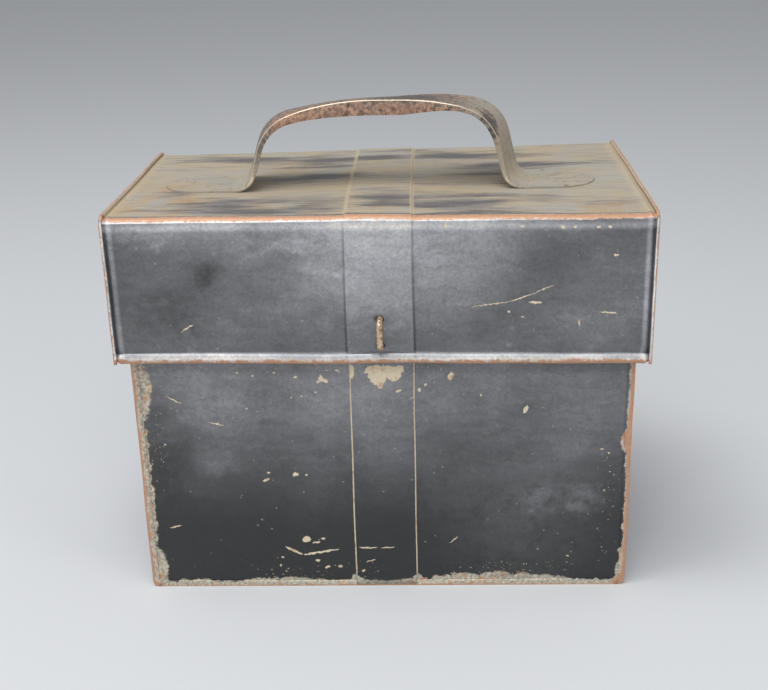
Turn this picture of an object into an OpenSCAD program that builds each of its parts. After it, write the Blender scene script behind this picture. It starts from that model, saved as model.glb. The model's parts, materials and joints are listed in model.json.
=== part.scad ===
// Tinplate carrying box: a soldered sheet-metal body, a deep overhanging hinged lid,
// a strap handle with its edges turned down into a grip, wired rims and a wire staple.
// X runs along the width, Y from front to back, Z up. The origin is on the underside
// of the body, in its middle.

/* [Overall sizes] */
// Width of the lid over the seams of its two ends
lid_w = 303.5; // [240:0.5:360]
// Depth of the lid between its front and back faces
lid_d = 174; // [140:1:220]
// Height of the lid, from the underside of its wired edge to its top face
lid_h = 84; // [66:1:110]
// Height of the lid's top face above the underside of the box
box_h = 236; // [200:1:300]
// Height of the body's rim above the lid's lower edge
overlap_h = 24; // [16:1:30]

/* [Sheet and wire] */
// Thickness of the tinplate
sheet_t = 0.5; // [0.4:0.1:0.8]
// Diameter of the wire rolled into the rims, and of the staple
wire_d = 3.5; // [2.5:0.1:4]
// Radius of the lid's front and back top bends, at the outer face
lid_bend_r = 4; // [2:0.5:8]
// Width of the central strips that cover the joints between the sheets
strip_w = 37; // [24:1:60]
// Thickness of the central strips
strip_t = 0.6; // [0.4:0.1:1]

/* [Seams and wired edges] */
// How far the standing seams at the lid's ends rise above its faces
seam_h = 2; // [1.2:0.1:3]
// How far the lid's wired edge stands out from its front and back faces
bead_out = 2; // [0.5:0.1:2.5]
// How far the body's rim stands out from its front and back faces
rim_out = 1.5; // [0.5:0.1:2.5]
// Centreline radius of the wires at the corners of the two rims
rim_corner_r = 3.2; // [2.8:0.1:6]
// Width of the borders the body's shells turn over its front and back sheets
border_w = 4; // [3:0.5:8]
// Radius of the bend between each side of the body and the bottom
bottom_bend_r = 4; // [2:0.5:8]
// Overlap of the two shells, each side of the middle of the bottom
lap_w = 6; // [3:0.5:12]

/* [Handle] */
// Height of the handle's crown above the lid
handle_h = 50; // [42:1:60]
// Centreline of the handle, behind the middle of the lid (negative is in front)
handle_y = -6; // [-20:1:20]
// Width of the flat strap
handle_w = 42; // [30:1:50]
// Thickness of the strap
handle_t = 0.9; // [0.6:0.1:1.2]
// Radius of the long arc across the crown
crown_r = 200; // [140:10:400]
// Half of the crown's length, measured along the box
crown_half = 54; // [40:1:60]
// Radius of each shoulder
shoulder_r = 28; // [16:1:32]
// Slope of each riser, in degrees from level
riser_slope = 73; // [60:1:80]
// Radius of the bend from each riser into its foot
foot_bend_r = 12; // [6:1:14]
// Length of the left foot, with its round end
left_foot_len = 41; // [30:1:50]
// Length of the right foot, with its round end
right_foot_len = 38; // [30:1:50]
// Depth of the turned-down edges at the middle of the grip
grip_fold = 9.5; // [6:0.5:12]
// Depth of the turned-down edges on the left riser
left_fold = 3.6; // [3:0.1:6]
// Depth of the turned-down edges on the right riser
right_fold = 3.1; // [3:0.1:6]
// How far the hand-bent grip twists, in degrees
grip_lean = 10; // [0:1:14]
// How much higher the hand-bent strap stands at its right shoulder
right_rise = 3.4; // [0:0.2:6]

/* [Hinges] */
// Distance from the middle of the box to each hinge strap
hinge_x = 95; // [60:1:110]
// Width of each hinge strap
hinge_w = 14; // [8:1:24]
// Thickness of the hinge straps' metal
hinge_t = 0.8; // [0.5:0.1:1]
// Length of each hinge leaf down the back of the body
hinge_leaf_h = 24; // [14:1:40]

/* [Staple] */
// Height of the staple's lower leg above the lid's lower edge
staple_z = 9.4; // [8:0.2:16]
// Distance between the staple's legs, centre to centre
staple_span = 15.8; // [12:0.2:24]
// How far the staple stands out from the strip on the lid
staple_out = 8.5; // [7:0.5:12]
// Centreline radius of the staple's two bends
staple_bend_r = 3.2; // [2.5:0.1:4]
// Diameter of the heads hammered on the ends of the legs, inside the lid
staple_head_d = 7; // [6.4:0.2:10]

/* [Clearances] */
// Gap between the lid's wired edge and the ends of the body
side_gap = 2.5; // [1:0.5:6]
// Smallest gap between the lid's wired edge and the body's rim as the lid swings
swing_gap = 2.5; // [1.5:0.1:4]
// Radial gap between a rim wire and the sheet rolled around it
wire_fit = 0.05; // [0.02:0.01:0.1]
// Radial running clearance between a hinge strap and its wire
hinge_fit = 0.06; // [0.02:0.01:0.1]
// Gap between neighbouring folds of sheet, filled with solder
solder_gap = 0.05; // [0.02:0.01:0.1]
// Gap between the edges of the body's front and back sheets and the folds they sit in
panel_fit = 0.3; // [0.1:0.1:1]
// Gap between the lap in the bottom and the front and back walls
lap_gap = 1; // [0.2:0.1:3]
// Gap around a hinge strap where the wired edge is notched for it
notch_gap = 0.8; // [0.6:0.1:2]
// Radial gap between the legs of the staple and the holes they pass through
staple_fit = 0.6; // [0.2:0.1:0.8]

/* [Hidden] */
$fn = 48;

// How far a shape runs past the face where it cuts or joins another
over = 1;

// Smallest radius left on a corner when a wall sits inside a bend
least_r = 0.2;

wire_r = wire_d / 2;
roll_in_r = wire_r + wire_fit;
roll_r = roll_in_r + sheet_t;

// Lid: its lower edge, the wire inside that edge, and the hinge axis at the back
lid_z0 = box_h - lid_h;
lid_wire_z = lid_z0 + roll_r;
lid_wire_y = lid_d / 2 + bead_out - roll_r;
lid_wire_x = lid_w / 2 - roll_r;

// The lid's wired edge swings past the body's rim on a circle about the hinge axis
rim_top = lid_z0 + overlap_h;
swing_r = 2 * lid_wire_y - roll_r;
swing_rise = rim_top - lid_wire_z;
swing_back = swing_r - sqrt(swing_r * swing_r - swing_rise * swing_rise);

// Body: its outer faces, and the wire inside its rim
body_face_y = lid_wire_y - roll_r - swing_back - swing_gap - rim_out;
body_x = lid_w / 2 - 2 * roll_r - side_gap;
border_y = body_face_y + solder_gap + sheet_t;
rim_wire_z = rim_top - roll_r;
rim_wire_y = body_face_y + rim_out - roll_r;
rim_wire_x = body_x - roll_r;
wall_top = rim_wire_z - roll_r - solder_gap;

// Joints between left and right sheets, under the central strips
butt_gap = 0.2;

// Staple: the heights of its legs, its outer bar, and the heads inside the lid
staple_low_z = lid_z0 + staple_z;
staple_high_z = staple_low_z + staple_span;
staple_bar_y = -(lid_d / 2 + strip_t + staple_out - wire_r);
staple_head_y = -(lid_d / 2 - sheet_t - solder_gap);
staple_head_t = 1.4;

// Colours
japan_black = [0.16, 0.16, 0.17];
worn_black = [0.22, 0.21, 0.20];
dusty_tan = [0.60, 0.55, 0.47];
bare_wire = [0.72, 0.58, 0.42];
steel_grey = [0.45, 0.44, 0.42];

// ---------- shared shapes ----------

// A prism along X whose outline is drawn in the YZ plane
module along_x(x0, x1) {
    translate([x0, 0, 0])
        rotate([90, 0, 90])
            linear_extrude(x1 - x0)
                children();
}

// A prism along Y whose outline is drawn in the XZ plane
module along_y(y0, y1) {
    translate([0, y1, 0])
        rotate([90, 0, 0])
            linear_extrude(y1 - y0)
                children();
}

// The rolled sheet around a rim wire, in section
module roll_section() {
    difference() {
        circle(roll_r);
        circle(roll_in_r);
    }
}

// A quarter turn of an outline that stands clear of the Z axis by the corner radius
module corner_turn(quarter) {
    rotate([0, 0, 90 * quarter])
        rotate_extrude(angle = 90)
            translate([rim_corner_r, 0])
                children();
}

// A closed rectangular ring of round wire, or the hollow for it, with round corners
module wire_ring(half_x, half_y, z, r) {
    straight_x = half_x - rim_corner_r;
    straight_y = half_y - rim_corner_r;
    translate([0, 0, z]) {
        for (side = [-1, 1]) {
            translate([-straight_x, side * half_y, 0])
                rotate([0, 90, 0])
                    cylinder(r = r, h = 2 * straight_x);
            translate([side * half_x, straight_y, 0])
                rotate([90, 0, 0])
                    cylinder(r = r, h = 2 * straight_y);
        }
        for (corner = [[1, 1, 0], [-1, 1, 1], [-1, -1, 2], [1, -1, 3]])
            translate([corner[0] * straight_x, corner[1] * straight_y, 0])
                corner_turn(corner[2])
                    circle(r);
    }
}

// The rolled edge across the right end of a rim, with its two corners
module end_roll(half_x, half_y, z) {
    straight_y = half_y - rim_corner_r;
    translate([half_x, 0, z])
        rotate([90, 0, 0])
            linear_extrude(2 * straight_y, center = true)
                roll_section();
    for (corner = [[1, 0], [-1, 3]])
        translate([half_x - rim_corner_r, corner[0] * straight_y, z])
            corner_turn(corner[1])
                roll_section();
}

// ---------- lid ----------

// The lid seen from its end, grown outwards by k, down to the height z0
module lid_outline(k, z0) {
    r = lid_bend_r + k;
    half = lid_d / 2 + k;
    top = box_h + k;
    translate([-half, z0])
        square([2 * half, top - r - z0]);
    translate([-(half - r), z0])
        square([2 * (half - r), top - z0]);
    for (side = [-1, 1])
        translate([side * (half - r), top - r])
            circle(r);
}

// A band of sheet that follows the lid's outline, between two offsets
module lid_band(k_in, k_out, z0) {
    difference() {
        lid_outline(k_out, z0);
        lid_outline(k_in, z0 - over);
    }
}

// The two holes through the front of the lid for the legs of the staple
module staple_holes() {
    for (z = [staple_low_z, staple_high_z])
        translate([0, 0, z])
            rotate([90, 0, 0])
                cylinder(r = wire_r + staple_fit, h = lid_d);
}

// Right half of the front, top and back of the lid, folded from one sheet.
// Its outer edge turns out into the seam and its lower edges roll round the wire.
module lid_half_sheet() {
    flange_x = lid_w / 2 - sheet_t - solder_gap;
    roll_x = lid_wire_x - rim_corner_r - solder_gap;
    skirt_z0 = lid_wire_z + roll_r + 2 * solder_gap;
    difference() {
        union() {
            along_x(butt_gap / 2, flange_x)
                lid_band(-sheet_t, 0, skirt_z0);
            along_x(flange_x - sheet_t, flange_x)
                lid_band(-sheet_t, seam_h - sheet_t - solder_gap, skirt_z0);
            for (side = [-1, 1])
                along_x(butt_gap / 2, roll_x) {
                    translate([side * lid_wire_y, lid_wire_z])
                        roll_section();
                    difference() {
                        translate([side * (lid_d - sheet_t) / 2 - sheet_t / 2, lid_wire_z])
                            square([sheet_t, roll_r + 2 * sheet_t]);
                        translate([side * lid_wire_y, lid_wire_z])
                            circle(roll_in_r);
                    }
                }
        }
        // Notch in the back edge that bares the wire for the hinge strap
        translate([hinge_x - hinge_w / 2 - notch_gap, lid_wire_y, lid_wire_z])
            rotate([0, 90, 0])
                cylinder(r = wire_r + hinge_fit + hinge_t + notch_gap, h = hinge_w + 2 * notch_gap);
        staple_holes();
    }
}

// Right end of the lid. Its edge folds over the sheet's flange into a standing seam.
module lid_end() {
    outer_x = lid_w / 2;
    seam_z0 = lid_wire_z + roll_r + solder_gap;
    fold_in_x = outer_x - 2 * (sheet_t + solder_gap);
    along_x(outer_x - sheet_t, outer_x)
        lid_outline(seam_h, seam_z0);
    along_x(fold_in_x - sheet_t, outer_x)
        lid_band(seam_h - sheet_t, seam_h, seam_z0);
    along_x(fold_in_x - sheet_t, fold_in_x)
        lid_band(solder_gap, seam_h, seam_z0);
    end_roll(lid_wire_x, lid_wire_y, lid_wire_z);
    // The plate runs down into its rolled edge, and the tails of the folded seam run on
    // past its corners
    straight_y = lid_wire_y - rim_corner_r;
    tail_y = lid_d / 2 - solder_gap;
    difference() {
        union() {
            translate([outer_x - sheet_t, -straight_y, lid_wire_z])
                cube([sheet_t, 2 * straight_y, roll_r + 2 * sheet_t]);
            for (side = [0, 1])
                mirror([0, side, 0])
                    translate([fold_in_x - sheet_t, tail_y, lid_z0])
                        cube([outer_x - fold_in_x + sheet_t, lid_d / 2 + seam_h - tail_y, seam_z0 - lid_z0]);
        }
        wire_ring(lid_wire_x, lid_wire_y, lid_wire_z, roll_in_r);
    }
}

module lid_left_sheet() {
    color(japan_black) mirror([1, 0, 0]) lid_half_sheet();
}

module lid_right_sheet() {
    color(japan_black) lid_half_sheet();
}

module lid_left_end() {
    color(worn_black) mirror([1, 0, 0]) lid_end();
}

module lid_right_end() {
    color(worn_black) lid_end();
}

// The strip over the joint, from the front edge across the top to the back edge
module lid_cover_strip() {
    color(worn_black)
        difference() {
            along_x(-strip_w / 2, strip_w / 2)
                lid_band(0, strip_t, lid_wire_z + roll_r);
            staple_holes();
        }
}

module lid_rim_wire() {
    color(steel_grey) wire_ring(lid_wire_x, lid_wire_y, lid_wire_z, wire_r);
}

// ---------- handle ----------

// A smooth step from 0 to 1 as s goes from a to b
function ease(s, a, b) =
    let (u = min(1, max(0, (s - a) / (b - a)))) u * u * (3 - 2 * u);

// A smooth bump of height 1 at c that dies away at distance w
function bump(s, c, w) = 1 - ease(abs(s - c), 0, w);

deg = 180 / PI;
crown_turn = asin(crown_half / crown_r);
strap_mid_z = box_h + solder_gap + handle_t / 2;
crown_z = box_h + handle_h - handle_t / 2;

// Where the shoulder ends, and how long the straight riser is
shoulder_x = crown_half + shoulder_r * (sin(riser_slope) - sin(crown_turn));
shoulder_z = crown_z - crown_r * (1 - cos(crown_turn))
    - shoulder_r * (cos(crown_turn) - cos(riser_slope));
riser_len = (shoulder_z - strap_mid_z - foot_bend_r * (1 - cos(riser_slope))) / sin(riser_slope);
bend_x = shoulder_x + riser_len * cos(riser_slope);
foot_x = bend_x + foot_bend_r * sin(riser_slope);

// Distances along the strap, from the middle of the crown
s_crown = crown_r * crown_turn / deg;
s_shoulder = s_crown + shoulder_r * (riser_slope - crown_turn) / deg;
s_riser = s_shoulder + riser_len;
s_bend = s_riser + foot_bend_r * riser_slope / deg;
tip_r = handle_w / 2;
function tip_at(side) = s_bend + (side > 0 ? right_foot_len : left_foot_len);

// Position and downward slope of the strap at the distance s, as [x, z, slope]
function strap_at(s) =
    s <= s_crown
        ? let (a = s / crown_r * deg)
            [crown_r * sin(a), crown_z - crown_r * (1 - cos(a)), a]
    : s <= s_shoulder
        ? let (a = crown_turn + (s - s_crown) / shoulder_r * deg)
            [shoulder_x - shoulder_r * (sin(riser_slope) - sin(a)),
             shoulder_z + shoulder_r * (cos(a) - cos(riser_slope)), a]
    : s <= s_riser
        ? [shoulder_x + (s - s_shoulder) * cos(riser_slope),
           shoulder_z - (s - s_shoulder) * sin(riser_slope), riser_slope]
    : s <= s_bend
        ? let (a = riser_slope - (s - s_riser) / foot_bend_r * deg)
            [foot_x - foot_bend_r * sin(a), strap_mid_z + foot_bend_r * (1 - cos(a)), a]
        : [foot_x + s - s_bend, strap_mid_z, 0];

// Half the strap's flat width: constant, with a round end
function half_width(s, side) =
    let (past = s - tip_at(side) + tip_r)
        past <= 0 ? tip_r : sqrt(tip_r * tip_r - past * past);

// The turned-down edge: the strap's length in its fold, its depth, and its angle, which
// dies away to almost nothing in the flat feet
fold_arc = 1.9;
full_turn = 89;
foot_turn = 0.5;

// The share of the crown, from its middle, over which the turned-down edges stay deepest
even_share = 0.15;
function fold_depth(s, side) =
    side > 0
        ? grip_fold + (right_fold - grip_fold) * ease(s, even_share * s_crown, s_crown)
        : grip_fold + (left_fold - grip_fold) * ease(s, even_share * s_crown, s_shoulder);
function fold_angle(s) = foot_turn + (full_turn - foot_turn) * (1 - ease(s, s_shoulder, s_bend + fold_arc));

// The lean of the strap's outer face towards the front: back over the middle of the
// grip, forward down both risers, and level again in the feet
right_share = 1.2;
left_share = 0.5;
grip_share = -0.8;

// Where the risers' lean begins and where the grip's lean is centred and ends, as shares
// of half the crown
lean_from = 0.8;
grip_centre = -0.3;
grip_reach = 1.5;
function riser_lean(s) = ease(s, lean_from * s_crown, s_shoulder) * (1 - ease(s, s_riser, s_bend));
function lean(s) =
    grip_lean * (right_share * riser_lean(s) + left_share * riser_lean(-s)
        + grip_share * bump(s, grip_centre * s_crown, grip_reach * s_crown));

// Right half of the strap's section as [across, up, turn]
fold_steps = 4;
function half_section(s, side) =
    let (half = half_width(s, side), scale = half / tip_r, turn = fold_angle(s),
         arc = fold_arc * scale, radius = arc / turn * deg,
         flat = half - fold_depth(s, side) * scale, rest = fold_depth(s, side) * scale - arc)
        concat(
            [for (i = [0:fold_steps])
                let (a = turn * i / fold_steps) [flat + radius * sin(a), -radius * (1 - cos(a)), a]],
            [[flat + radius * sin(turn) + rest * cos(turn),
              -radius * (1 - cos(turn)) - rest * sin(turn), turn]]);

// How much the right shoulder stands above the left one, fading away down the riser
function rise(s) = right_rise * ease(s, 0, s_crown) * (1 - ease(s, s_shoulder, s_riser));

// One closed ring of points around the strap at the signed distance s
function strap_ring(s) =
    let (side = s < 0 ? -1 : 1, at = strap_at(abs(s)), slope = side * at[2], tilt = lean(s),
         origin = [side * at[0], handle_y, at[1] + rise(s)],
         outward = [sin(slope), 0, cos(slope)],
         up = outward * cos(tilt) + [0, -sin(tilt), 0],
         across = outward * sin(tilt) + [0, cos(tilt), 0],
         half = half_section(abs(s), side), n = len(half),
         line = concat(
             [for (i = [n - 1:-1:0]) [-half[i][0], half[i][1], -half[i][2]]],
             [for (i = [0:n - 1]) half[i]]))
        concat(
            [for (p = line)
                origin + across * (p[0] + handle_t / 2 * sin(p[2])) + up * (p[1] + handle_t / 2 * cos(p[2]))],
            [for (i = [2 * n - 1:-1:0])
                let (p = line[i])
                    origin + across * (p[0] - handle_t / 2 * sin(p[2]))
                        + up * (p[1] - handle_t / 2 * cos(p[2]))]);

// Stations from the middle of the crown to the tip, closer together where it bends
function steps(a, b, n) = [for (i = [1:n]) a + (b - a) * i / n];
function half_stations(side) =
    let (tip_start = tip_at(side) - tip_r)
        concat(
            steps(0, s_crown, 7), steps(s_crown, s_shoulder, 8), steps(s_shoulder, s_riser, 4),
            steps(s_riser, s_bend, 7), steps(s_bend, tip_start, 2),
            [for (a = [15, 30, 45, 60, 75, 81]) tip_start + tip_r * sin(a)]);
left_stations = half_stations(-1);
stations = concat([for (i = [len(left_stations) - 1:-1:0]) -left_stations[i]], [0], half_stations(1));

module handle() {
    rings = [for (s = stations) strap_ring(s)];
    n = len(rings[0]);
    m = len(rings);
    color(dusty_tan)
        polyhedron(
            points = [for (ring = rings) each ring],
            faces = concat(
                [[for (i = [0:n - 1]) i]],
                [[for (i = [n - 1:-1:0]) (m - 1) * n + i]],
                [for (k = [0:m - 2], i = [0:n - 1])
                    let (j = (i + 1) % n) [k * n + j, k * n + i, (k + 1) * n + i]],
                [for (k = [0:m - 2], i = [0:n - 1])
                    let (j = (i + 1) % n) [k * n + j, (k + 1) * n + i, (k + 1) * n + j]]),
            convexity = 6);
}

// ---------- body ----------

// A rectangle from z0 to z1 whose lower corners are rounded
module round_bottom(half, r, z0, z1) {
    translate([-half, z0 + r])
        square([2 * half, z1 - z0 - r]);
    translate([-(half - r), z0])
        square([2 * (half - r), z1 - z0]);
    for (side = [-1, 1])
        translate([side * (half - r), z0 + r])
            circle(r);
}

// Right side of the body and its share of the bottom, from x0 outwards,
// with a border turned over the front and back and its top rolled round the wire
module body_shell(x0) {
    straight_y = rim_wire_y - rim_corner_r;
    gap_x = strip_w / 2 + solder_gap;
    difference() {
        along_y(-border_y, border_y)
            intersection() {
                round_bottom(body_x, bottom_bend_r, 0, wall_top);
                translate([x0, 0])
                    square([2 * body_x, wall_top]);
            }
        along_y(sheet_t - border_y, border_y - sheet_t)
            round_bottom(body_x - sheet_t, bottom_bend_r - sheet_t, sheet_t, wall_top + over);
        translate([-(body_x - border_w), -2 * border_y, border_w])
            cube([2 * (body_x - border_w), 4 * border_y, rim_top]);
        // The bottom border stops at the strip, which runs down to the fold
        translate([-gap_x, -2 * border_y, sheet_t])
            cube([2 * gap_x, 4 * border_y, rim_top]);
    }
    difference() {
        translate([body_x - sheet_t, -straight_y, wall_top - over])
            cube([sheet_t, 2 * straight_y, rim_wire_z - wall_top + over]);
        wire_ring(rim_wire_x, rim_wire_y, rim_wire_z, roll_in_r);
    }
    end_roll(rim_wire_x, rim_wire_y, rim_wire_z);
}

module body_left_shell() {
    color(worn_black) mirror([1, 0, 0]) body_shell(-lap_w);
}

// The right shell steps up over the left one, inside the box
module body_right_shell() {
    x0 = lap_w + butt_gap;
    lap_y = body_face_y - sheet_t - lap_gap;
    lap_z = sheet_t + solder_gap;
    color(worn_black) {
        body_shell(x0);
        translate([-lap_w, -lap_y, lap_z])
            cube([x0 + sheet_t + lap_w, 2 * lap_y, sheet_t]);
        translate([x0, -lap_y, 0])
            cube([sheet_t, 2 * lap_y, lap_z + sheet_t]);
    }
}

// Right half of the body's back wall, rolled round the rim wire at its top. The other
// halves of the back and front walls are its mirror images.
module body_half_sheet() {
    roll_x = rim_wire_x - rim_corner_r - solder_gap;
    edge = sheet_t + panel_fit;
    along_y(body_face_y - sheet_t, body_face_y)
        intersection() {
            round_bottom(body_x - edge, max(least_r, bottom_bend_r - edge), edge, wall_top);
            translate([butt_gap / 2, 0])
                square([body_x, wall_top]);
        }
    along_x(butt_gap / 2, roll_x) {
        difference() {
            translate([body_face_y - sheet_t, wall_top - over])
                square([sheet_t, rim_wire_z - wall_top + over]);
            translate([rim_wire_y, rim_wire_z])
                circle(roll_in_r);
        }
        translate([rim_wire_y, rim_wire_z])
            roll_section();
    }
}

module body_front_left_sheet() {
    color(japan_black) mirror([1, 0, 0]) mirror([0, 1, 0]) body_half_sheet();
}

module body_front_right_sheet() {
    color(japan_black) mirror([0, 1, 0]) body_half_sheet();
}

module body_back_left_sheet() {
    color(japan_black) mirror([1, 0, 0]) body_half_sheet();
}

module body_back_right_sheet() {
    color(japan_black) body_half_sheet();
}

// The strip over the joint in the body's back wall
module body_strip() {
    z0 = sheet_t + solder_gap;
    translate([-strip_w / 2, body_face_y, z0])
        cube([strip_w, strip_t, wall_top - z0]);
}

module body_front_strip() {
    color(worn_black) mirror([0, 1, 0]) body_strip();
}

module body_back_strip() {
    color(worn_black) body_strip();
}

module body_rim_wire() {
    color(steel_grey) wire_ring(rim_wire_x, rim_wire_y, rim_wire_z, wire_r);
}

// ---------- staple ----------

// Lower half of the staple, about the middle of its outer bar
module staple_half() {
    half = staple_span / 2;
    leg = staple_head_y - staple_bar_y - staple_bend_r;
    translate([0, 0, staple_bend_r - half])
        cylinder(r = wire_r, h = half - staple_bend_r);
    translate([0, staple_bend_r, staple_bend_r - half])
        rotate([0, 90, 0])
            rotate([0, 0, -90])
                rotate_extrude(angle = 90)
                    translate([staple_bend_r, 0])
                        circle(wire_r);
    translate([0, staple_bend_r, -half])
        rotate([-90, 0, 0])
            cylinder(r = wire_r, h = leg + staple_head_t);
    translate([0, staple_bend_r + leg, -half])
        rotate([-90, 0, 0])
            cylinder(d1 = staple_head_d, d2 = staple_head_d - staple_head_t, h = staple_head_t);
}

module staple() {
    color(bare_wire)
        translate([0, staple_bar_y, (staple_low_z + staple_high_z) / 2]) {
            staple_half();
            mirror([0, 0, 1]) staple_half();
        }
}

// ---------- hinges ----------

// A strap looped round the bare rim wire and soldered down the back of the body
module hinge_strap() {
    loop_r = wire_r + hinge_fit + hinge_t;
    leaf_t = 2 * hinge_t;
    arm_z0 = lid_wire_z - loop_r;
    along_x(hinge_x - hinge_w / 2, hinge_x + hinge_w / 2)
        difference() {
            union() {
                translate([lid_wire_y, lid_wire_z])
                    circle(loop_r);
                translate([body_face_y, arm_z0])
                    square([lid_wire_y - body_face_y, leaf_t]);
                translate([body_face_y, arm_z0 - hinge_leaf_h])
                    square([leaf_t, hinge_leaf_h + leaf_t]);
            }
            translate([lid_wire_y, lid_wire_z])
                circle(wire_r + hinge_fit);
        }
}

module left_hinge_strap() {
    color(worn_black) mirror([1, 0, 0]) hinge_strap();
}

module right_hinge_strap() {
    color(worn_black) hinge_strap();
}

body_left_shell();
body_right_shell();
body_front_left_sheet();
body_front_right_sheet();
body_back_left_sheet();
body_back_right_sheet();
body_front_strip();
body_back_strip();
body_rim_wire();
left_hinge_strap();
right_hinge_strap();
lid_left_sheet();
lid_right_sheet();
lid_cover_strip();
lid_left_end();
lid_right_end();
lid_rim_wire();
staple();
handle();
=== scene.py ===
# %% [markdown]
# # An old tin lunch box
#
# The real box is soldered together from thin tinplate sheets, which were then coated with
# black japan, a baked lacquer. Each sheet, strip, wire and strap arrives here as its own CAD
# mesh, in one shared frame. This lesson lights the box, gives every piece its finish and
# remakes the pieces whose hand-bent shape the plain solids can't show.

# %% Load the frame
import bpy
import bmesh
import json
import math
from types import SimpleNamespace
from mathutils import Matrix, Vector, noise

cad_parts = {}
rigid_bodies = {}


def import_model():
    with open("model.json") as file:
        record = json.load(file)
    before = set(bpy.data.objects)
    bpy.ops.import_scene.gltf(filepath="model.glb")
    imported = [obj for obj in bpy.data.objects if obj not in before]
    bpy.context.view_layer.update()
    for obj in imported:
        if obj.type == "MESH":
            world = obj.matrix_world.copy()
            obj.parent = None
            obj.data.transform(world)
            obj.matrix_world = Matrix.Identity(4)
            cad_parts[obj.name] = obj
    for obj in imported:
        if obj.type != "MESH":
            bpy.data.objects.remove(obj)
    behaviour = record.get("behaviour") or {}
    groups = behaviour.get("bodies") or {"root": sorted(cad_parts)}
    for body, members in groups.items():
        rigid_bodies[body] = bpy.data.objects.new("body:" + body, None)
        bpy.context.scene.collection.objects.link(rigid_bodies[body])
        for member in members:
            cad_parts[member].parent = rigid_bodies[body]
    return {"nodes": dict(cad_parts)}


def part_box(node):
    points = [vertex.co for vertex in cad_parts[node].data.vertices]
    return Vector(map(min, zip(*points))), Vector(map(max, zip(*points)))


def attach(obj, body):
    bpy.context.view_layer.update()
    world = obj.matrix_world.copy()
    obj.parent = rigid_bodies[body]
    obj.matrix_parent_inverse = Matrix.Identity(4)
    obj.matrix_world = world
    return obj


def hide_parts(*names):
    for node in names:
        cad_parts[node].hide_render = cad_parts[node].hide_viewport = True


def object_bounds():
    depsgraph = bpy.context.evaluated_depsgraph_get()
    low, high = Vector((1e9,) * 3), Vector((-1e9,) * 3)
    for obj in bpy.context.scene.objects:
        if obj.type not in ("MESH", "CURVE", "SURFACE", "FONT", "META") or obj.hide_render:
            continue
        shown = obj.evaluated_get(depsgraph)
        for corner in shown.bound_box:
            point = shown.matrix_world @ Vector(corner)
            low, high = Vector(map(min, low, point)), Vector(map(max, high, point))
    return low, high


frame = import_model()
nodes = frame["nodes"]
cad_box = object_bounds()
MM = 0.001
print("CAD nodes:", len(nodes), "box:", [round(v, 4) for corner in cad_box for v in corner])

# %% [markdown]
# ## The camera
#
# A camera could be placed by eye and nudged until it looks right. Here its place and its
# three turns come from a fit to the corners of the box, so that every edge of the render
# lies where the same edge of the real box would be seen: a little right of the middle,
# 0.7 m away, and looking down by about 21 degrees.

# %% Camera
PICTURE_W = 768
FOCAL_PIXELS = 1219.3
SENSOR_W = 36
STANDPOINT = (0.0255, -0.7247, 0.4098)
yaw = Matrix.Rotation(math.radians(2.11), 3, "Z")
pitch = Matrix.Rotation(math.radians(-21.26), 3, "X")
roll = Matrix.Rotation(math.radians(1.43), 3, "Y")
stand_up = Matrix.Rotation(math.radians(90), 3, "X")
camera_data = bpy.data.cameras.new("camera")
camera_data.sensor_width = SENSOR_W
camera_data.lens = SENSOR_W * FOCAL_PIXELS / PICTURE_W
camera = bpy.data.objects.new("camera", camera_data)
camera.matrix_world = Matrix.Translation(STANDPOINT) @ (yaw @ pitch @ roll @ stand_up).to_4x4()
bpy.context.scene.collection.objects.link(camera)
bpy.context.scene.camera = camera
print("Lens, mm:", round(camera_data.lens, 2))

# %% [markdown]
# ## Colours and nodes
#
# Paint charts give colours as sRGB hex codes, while shaders work with linear light. One
# function turns the first into the second. Another adds a single shader node, with its
# settings and whatever is plugged into it, so that each finish below reads as a short list.

# %% Colour and node helpers
def srgb(code):
    parts = [int(code[i:i + 2], 16) / 255 for i in (1, 3, 5)]
    linear = [p / 12.92 if p <= 0.04045 else ((p + 0.055) / 1.055) ** 2.4 for p in parts]
    return linear + [1.0]


def add(tree, kind, inputs=None, out=None, **settings):
    """Adds one node and hands back an output: the one named by out, or the first one used.
    An input is a plain value, or the output that is linked to it."""
    made = tree.nodes.new("ShaderNode" + kind)
    for name, value in settings.items():
        setattr(made, name, value)
    for key, value in (inputs or {}).items():
        if isinstance(value, bpy.types.NodeSocket):
            tree.links.new(value, made.inputs[key])
        else:
            made.inputs[key].default_value = value
    return made.outputs[out] if out else next(socket for socket in made.outputs if socket.enabled)


# Sockets of the Mix node when it mixes colours
FACTOR, FIRST, SECOND = 0, 6, 7
print("White is", srgb("#ffffff")[:3])

# %% [markdown]
# ## Floor and light
#
# Black japan shows what it mirrors, so the light is what gives it its form. A studio would
# use wide soft boxes above and in front, weaker ones at both sides, and white card all
# round. The floor is plain and pale, and so large that its edge lies at the horizon.

# %% Floor
floor_mesh = bpy.data.meshes.new("floor")
plan = bmesh.new()
bmesh.ops.create_grid(plan, x_segments=1, y_segments=1, size=40)
bmesh.ops.translate(plan, verts=plan.verts, vec=(0, 0, cad_box[0][2]))
plan.to_mesh(floor_mesh)
plan.free()
floor = bpy.data.objects.new("floor", floor_mesh)
bpy.context.scene.collection.objects.link(floor)
floor_paper = bpy.data.materials.new("pale floor paper")
floor_paper.use_nodes = True
paper = floor_paper.node_tree.nodes["Principled BSDF"]
paper.inputs["Base Color"].default_value = srgb("#c9cbcd")
paper.inputs["Roughness"].default_value = 0.9
floor_mesh.materials.append(floor_paper)
print("Floor at z =", cad_box[0][2])

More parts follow.
